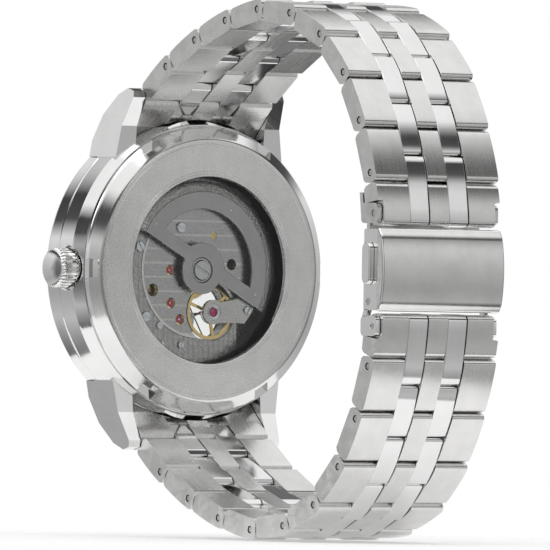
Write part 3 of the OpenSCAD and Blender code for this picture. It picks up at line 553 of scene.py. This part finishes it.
lo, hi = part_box("crown")
cy = (lo.y + hi.y) / 2 / MM
x0, x1 = lo.x / MM, hi.x / MM
R = (hi.z - lo.z) / 2 / MM
bm = bmesh.new()
TEETH, STEPS = 30, 8
profile = [(0.02, x0 + 1.1, 0), (1.65, x0 + 1.1, 0), (1.65, x0, 0), (R - 0.3, x0, 0), (R - 0.05, x0 + 0.2, 1),
           (R, x0 + 0.45, 1), (R, x1 - 0.95, 1), (R - 0.1, x1 - 0.65, 0.9), (R - 0.32, x1 - 0.42, 0.2),
           (R - 0.5, x1 - 0.33, 0), (R - 0.9, x1 - 0.2, 0), (1.0, x1 - 0.05, 0), (0.02, x1, 0)]
cols = []
n = TEETH * STEPS
for k in range(n):
    t = 2 * math.pi * k / n
    groove = max(0.0, -math.cos(TEETH * t) - 0.1) / 0.9
    cols.append([bm.verts.new(Vector((x, cy + (r - 0.17 * f * groove) * math.sin(t),
                                      (r - 0.17 * f * groove) * math.cos(t))) * MM)
                 for r, x, f in profile])
for k in range(n):
    p, q = cols[k], cols[(k + 1) % n]
    for a, b in zip(range(len(profile) - 1), range(1, len(profile))):
        bm.faces.new((p[a], q[a], q[b], p[b]))
finish_mesh(bm, "crown_fluted", [M["case"]], "crown", ("crown",), sharp=40)

# ------------------------------------------------------------------ case back


def lathe(bm, profiles, mats):
    """Turned shape round the watch's axis. profiles is a list of (angle, [(radius, depth)...])."""
    cols = [[bm.verts.new(Vector((r * math.cos(a), -d, r * math.sin(a))) * MM) for r, d in prof]
            for a, prof in profiles]
    for p, q in zip(cols, cols[1:] + cols[:1]):
        for k in range(len(p) - 1):
            bm.faces.new((p[k], q[k], q[k + 1], p[k + 1])).material_index = mats[k]


lo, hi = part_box("case_back")
BR = hi.x / MM
flat = [(17.4, 1.9), (14.4, 1.9), (14.4, 0.5), (13.2, 0.5), (13.2, 0.12), (13.3, 0.02), (13.45, 0), (13.62, 0),
        (13.66, 0.045), (13.70, 0), (13.98, 0), (14.02, 0.045), (14.06, 0), (14.5, 0), (17.85, 0), (17.89, 0.04),
        (17.93, 0), (18.4, 0), (18.55, 0.03), (18.7, 0.1)]


def cone(depth_of_cut):
    pts = []
    for k in range(7):
        r = 18.9 + (BR - 0.12 - 18.9) * k / 6
        d = 0.1 + (1.25 - 0.1) * (r - 18.7) / (BR - 0.12 - 18.7)
        if r > 18.95:
            d = max(d, depth_of_cut)
        pts.append((r, d))
    return pts + [(BR, max(1.42, depth_of_cut)), (BR, 1.7), (18.7, 1.7), (18.7, 3.3), (17.4, 3.3)]


plain, cut = flat + cone(0), flat + cone(1.5)
mats = [0] * 17 + [1] * (len(plain) - 12)
turns = []
half = math.degrees(1.3 / 20)
for s in range(6):
    base = 60 * s
    for k in range(9):
        turns.append((math.radians(base - half + 2 * half * k / 8), cut))
    turns.append((math.radians(base + half + 0.02), plain))
    for k in range(1, 40):
        turns.append((math.radians(base + half + 0.02 + (60 - 2 * half - 0.04) * k / 39), plain))
bm = bmesh.new()
lathe(bm, turns, mats)
bmesh.ops.remove_doubles(bm, verts=bm.verts, dist=1e-7)
finish_mesh(bm, "case_back_turned", [M["back"], M["back_edge"]], "case", ("case_back",), sharp=28)

# ------------------------------------------------------------------ movement


def axial(u, v, d):
    """View from behind the watch: u is X, v is Z, d is the depth below the back."""
    return (u, -d, v)


lean = math.radians(28.7)


def leaned(points):
    return [(x * math.cos(lean) - y * math.sin(lean), x * math.sin(lean) + y * math.cos(lean)) for x, y in points]


lo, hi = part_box("rotor")
top, low = -hi.y / MM, -lo.y / MM
web = arc(0, 0, 11.15, 0, 180, 72)
t0 = math.degrees(math.asin(2.0 / 8.7))
t1 = math.degrees(math.asin(2.0 / 3.9))
crescent = arc(0, 0, 8.7, t0, 180 - t0, 60) + arc(0, 0, 3.9, 180 - t1, t1, 30)
hub = arc(0, 0, 3.4, 180 + 0.5, 360 - 0.5, 30)
bore = arc(0, 0, 1.8, 0, 352, 44)
bm = bmesh.new()
prism(bm, [leaned(web + hub), leaned(crescent), leaned(bore)], axial, top, top + 0.4)
finish_mesh(bm, "rotor_web", [M["rotor"]], "rotor", ("rotor",), bevel=0.09, edge=M["polished"])
bm = bmesh.new()
section = [(11.15, top + 0.12), (11.35, top + 0.14), (11.9, top + 0.2), (12.45, top + 0.34), (12.66, top + 0.55),
           (12.68, low - 0.1), (12.55, low), (11.2, low), (11.15, low - 0.1)]
cols = []
for k in range(91):
    t = lean + math.pi * k / 90
    cols.append([bm.verts.new(Vector((r * math.cos(t), -d, r * math.sin(t))) * MM) for r, d in section])
for p, q in zip(cols, cols[1:]):
    for k in range(len(p)):
        j = (k + 1) % len(p)
        bm.faces.new((p[k], q[k], q[j], p[j]))
bm.faces.new(cols[0])
bm.faces.new(cols[-1])
finish_mesh(bm, "rotor_weight", [M["weight"]], "rotor", (), bevel=0.05)
for k, (x, z) in enumerate(((8.1, 6.4), (-4.9, 8.6), (-9.3, -3.3))):
    bm = bmesh.new()
    prism(bm, [arc(x, z, 0.16, 0, 330, 11)], axial, top - 0.01, top + 0.1)
    finish_mesh(bm, f"rotor_pin_{k}", [M["screw"]], "rotor", (), bevel=0.03)


def screw(name, x, z, top, r, turn, replaces=()):
    """Slotted screw head with a chamfered rim and the end of its shank."""
    bm = bmesh.new()
    c = 0.11
    h = math.degrees(math.asin(c / r))
    for side_of in (0, 180):
        half = [(x + px, z + pz) for px, pz in
                [(math.cos(math.radians(turn)) * u - math.sin(math.radians(turn)) * v,
                  math.sin(math.radians(turn)) * u + math.cos(math.radians(turn)) * v)
                 for u, v in arc(0, 0, r, side_of + h, side_of + 180 - h, 22)]]
        prism(bm, [half], axial, top, top + 0.14)
    prism(bm, [arc(x, z, r, 0, 352, 44)], axial, top + 0.13, top + 0.3)
    prism(bm, [arc(x, z, 0.27, 0, 330, 11)], axial, top + 0.3, top + 0.9)
    finish_mesh(bm, name, [M["screw"]], "case", replaces, bevel=0.06)


lo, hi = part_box("bridge_screws")
cock_head = -hi.y / MM
for k, (x, z, r, turn, d) in enumerate(((10, 3.2, 0.72, 60, 2.8), (2.9, 6.0, 0.75, 5, 2.8), (6.4, -7.9, 0.55, 30, 2.8),
                                        (2.7, -10.6, 0.5, 100, 2.8), (6.2, -10.6, 0.6, 75, 2.8),
                                        (8.8, -6.7, 0.74, 15, 2.8), (-8.4, -5.6, 0.6, 120, cock_head))):
    screw(f"bridge_screw_{k}", x, z, d, r, turn, ("bridge_screws",) if k == 0 else ())


def turned(bm, x, z, section, n=40, mat=0):
    cols = [[bm.verts.new(Vector((x + r * math.cos(a), -d, z + r * math.sin(a))) * MM) for r, d in section]
            for a in [2 * math.pi * k / n for k in range(n)]]
    for p, q in zip(cols, cols[1:] + cols[:1]):
        for k in range(len(p) - 1):
            bm.faces.new((p[k], q[k], q[k + 1], p[k + 1])).material_index = mat


lo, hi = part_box("jewels")
for k, (x, z) in enumerate(((4.675, -0.03), (4.5, -4.7), (2.9, -7.0))):
    bm = bmesh.new()
    turned(bm, x, z, [(0.17, 3.5), (0.17, 3.26), (0.3, 3.2), (0.5, 3.2), (0.5, 3.5)])
    turned(bm, x, z, [(0.5, 3.3), (0.52, 3.14), (0.6, 3.1), (0.74, 3.14), (0.74, 3.5)], mat=1)
    finish_mesh(bm, f"jewel_{k}", [M["ruby"], M["balance"]], "case", ("jewels",) if k == 0 else ())
bm = bmesh.new()
bx, bz = BALANCE_AT
turned(bm, bx, bz, [(0.02, 2.50), (0.3, 2.51), (0.55, 2.56), (0.62, 2.64), (0.62, 2.9)])
turned(bm, bx, bz, [(0.62, 2.7), (0.64, 2.5), (0.72, 2.46), (0.95, 2.47), (1.0, 2.6), (1.15, 2.6), (1.19, 2.5),
                    (1.19, 2.9)], mat=1)
finish_mesh(bm, "balance_jewel", [M["ruby"], M["screw"]], "case", ())
# slotted screw that holds the rotor
lo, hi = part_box("rotor_bearing")
bm = bmesh.new()
bt = -hi.y / MM
turned(bm, 0, 0, [(1.42, bt + 0.3), (1.5, bt + 0.22), (1.72, bt + 0.24), (1.74, bt + 0.3), (1.74, bt + 1.3)], n=64)
for side_of in (0, 180):
    prism(bm, [[(math.cos(0.5) * u - math.sin(0.5) * v, math.sin(0.5) * u + math.cos(0.5) * v)
                for u, v in arc(0, 0, 1.38, side_of + 6, side_of + 174, 30)]], axial, bt, bt + 0.2)
prism(bm, [arc(0, 0, 1.38, 0, 352, 44)], axial, bt + 0.19, bt + 0.5)
finish_mesh(bm, "rotor_bearing_screw", [M["bearing"]], "case", ("rotor_bearing",), bevel=0.07)

# ------------------------------------------------------------------ stage

floor_z = rest_lo.z - FLOOR_DROP
bm = bmesh.new()
rim = [bm.verts.new((FLOOR_RADIUS * math.cos(a), 0.02 + FLOOR_RADIUS * math.sin(a), floor_z)) for a in
       [2 * math.pi * k / FLOOR_SIDES for k in range(FLOOR_SIDES)]]
bm.faces.new(rim)
me = bpy.data.meshes.new("floor")
bm.to_mesh(me)
bm.free()
floor = bpy.data.objects.new("floor", me)
bpy.context.scene.collection.objects.link(floor)
me.materials.append(material("floor_white", (0.93, 0.93, 0.93), 0.8, metal=0, brush="iso", lines=0.5, depth=0.02,
                             stain=0.01))
floor_shader = me.materials[0].node_tree.nodes["Principled BSDF"]
floor_shader.inputs["Emission Color"].default_value = (1, 1, 1, 1)
floor_shader.inputs["Emission Strength"].default_value = 0.25

world = bpy.data.worlds.new("studio")
bpy.context.scene.world = world
world.use_nodes = True
nt = world.node_tree
bg = nt.nodes["Background"]
tc = nt.nodes.new("ShaderNodeTexCoord")


def facing(direction, edge0, edge1):
    """1 inside the cone round a direction, 0 outside it, soft between the two cosines."""
    n = nt.nodes.new("ShaderNodeVectorMath")
    n.operation = "DOT_PRODUCT"
    nt.links.new(tc.outputs["Generated"], n.inputs[0])
    n.inputs[1].default_value = Vector(direction).normalized()
    return remap(nt, n.outputs["Value"], edge0, edge1, 0.0, 1.0)


AZ, EL, ROLL, DIST, FOCAL = 144.178, -0.477, 0.782, 1646.6, 11747.5
az, el, roll = (math.radians(a) for a in (AZ, EL, ROLL))
back = Vector((math.sin(az) * math.cos(el), -math.cos(az) * math.cos(el), math.sin(el)))
right = Vector((0, 0, 1)).cross(back).normalized()
up = back.cross(right)
right_r = right * math.cos(roll) + up * math.sin(roll)
up_r = up * math.cos(roll) - right * math.sin(roll)

sep = nt.nodes.new("ShaderNodeSeparateXYZ")
nt.links.new(tc.outputs["Generated"], sep.inputs[0])
ramp = nt.nodes.new("ShaderNodeValToRGB")
nt.links.new(remap(nt, sep.outputs[2], -1.0, 1.0, 0.0, 1.0), ramp.inputs[0])
e = ramp.color_ramp.elements
e[0].position, e[0].color = 0.0, (0.05, 0.05, 0.05, 1)
e[1].position, e[1].color = 1.0, (0.95, 0.95, 0.95, 1)
for pos, v in ((0.20, 0.04), (0.32, 0.55), (0.41, 0.40), (0.49, 0.50), (0.56, 0.62), (0.62, 0.80), (0.68, 0.08),
               (0.75, 0.05), (0.81, 0.95)):
    s = ramp.color_ramp.elements.new(pos)
    s.color = (v, v, v, 1)
# a plain white backdrop is what is seen; what the metal reflects has dark cards round the camera
dark = math_node(nt, "ADD", math_node(nt, "MULTIPLY", facing(back * 0.85 + right * 0.5, 0.80, 0.93), 0.55),
                 math_node(nt, "MULTIPLY", facing(right * 0.95 - back * 0.3, 0.88, 0.96), 0.6))
dark = math_node(nt, "ADD", dark, math_node(nt, "MULTIPLY", facing(-right * 1.0 + back * 0.15, 0.92, 0.98), 0.7))
keep = math_node(nt, "SUBTRACT", 1.0, math_node(nt, "MINIMUM", dark, 0.9))
toned = nt.nodes.new("ShaderNodeVectorMath")
toned.operation = "SCALE"
nt.links.new(ramp.outputs[0], toned.inputs[0])
nt.links.new(keep, toned.inputs["Scale"])
mixw = nt.nodes.new("ShaderNodeMix")
mixw.data_type = "RGBA"
nt.links.new(nt.nodes.new("ShaderNodeLightPath").outputs["Is Camera Ray"], mixw.inputs[0])
nt.links.new(toned.outputs[0], mixw.inputs[6])
mixw.inputs[7].default_value = (1.0, 1.0, 1.0, 1)
nt.links.new(mixw.outputs[2], bg.inputs["Color"])
bg.inputs["Strength"].default_value = 1.0


def lamp(name, direction, distance, size, power):
    d = bpy.data.lights.new(name, "AREA")
    d.shape = "RECTANGLE"
    d.size, d.size_y = size
    d.energy = power
    o = bpy.data.objects.new(name, d)
    bpy.context.scene.collection.objects.link(o)
    v = Vector(direction).normalized()
    o.location = WATCH_CENTRE + v * distance
    o.rotation_mode = "QUATERNION"
    o.rotation_quaternion = v.to_track_quat("Z", "Y")


lamp("key", back * 0.7 - right * 0.7 + Vector((0, 0, 0.75)), 0.9, (0.5, 0.35), 0.8)
lamp("fill", back * 0.6 + right * 0.9 + Vector((0, 0, 0.2)), 1.0, (0.25, 0.6), 0.1)
lamp("top", Vector((0.1, 0.3, 1)), 0.8, (0.5, 0.5), 0.6)

target = Vector((0, 20, 0)) - right_r * 2.454 - up_r * 0.647
data = bpy.data.cameras.new("camera")
data.sensor_width = 36
data.lens = FOCAL / 550 * 36
data.clip_start, data.clip_end = 0.05, 50
camera = bpy.data.objects.new("camera", data)
bpy.context.scene.collection.objects.link(camera)
camera.rotation_mode = "QUATERNION"
camera.matrix_world = Matrix((right_r, up_r, back)).transposed().to_4x4()
camera.location = (target + back * DIST) * MM
bpy.context.scene.camera = camera
bpy.context.scene.view_settings.view_transform = "Standard"
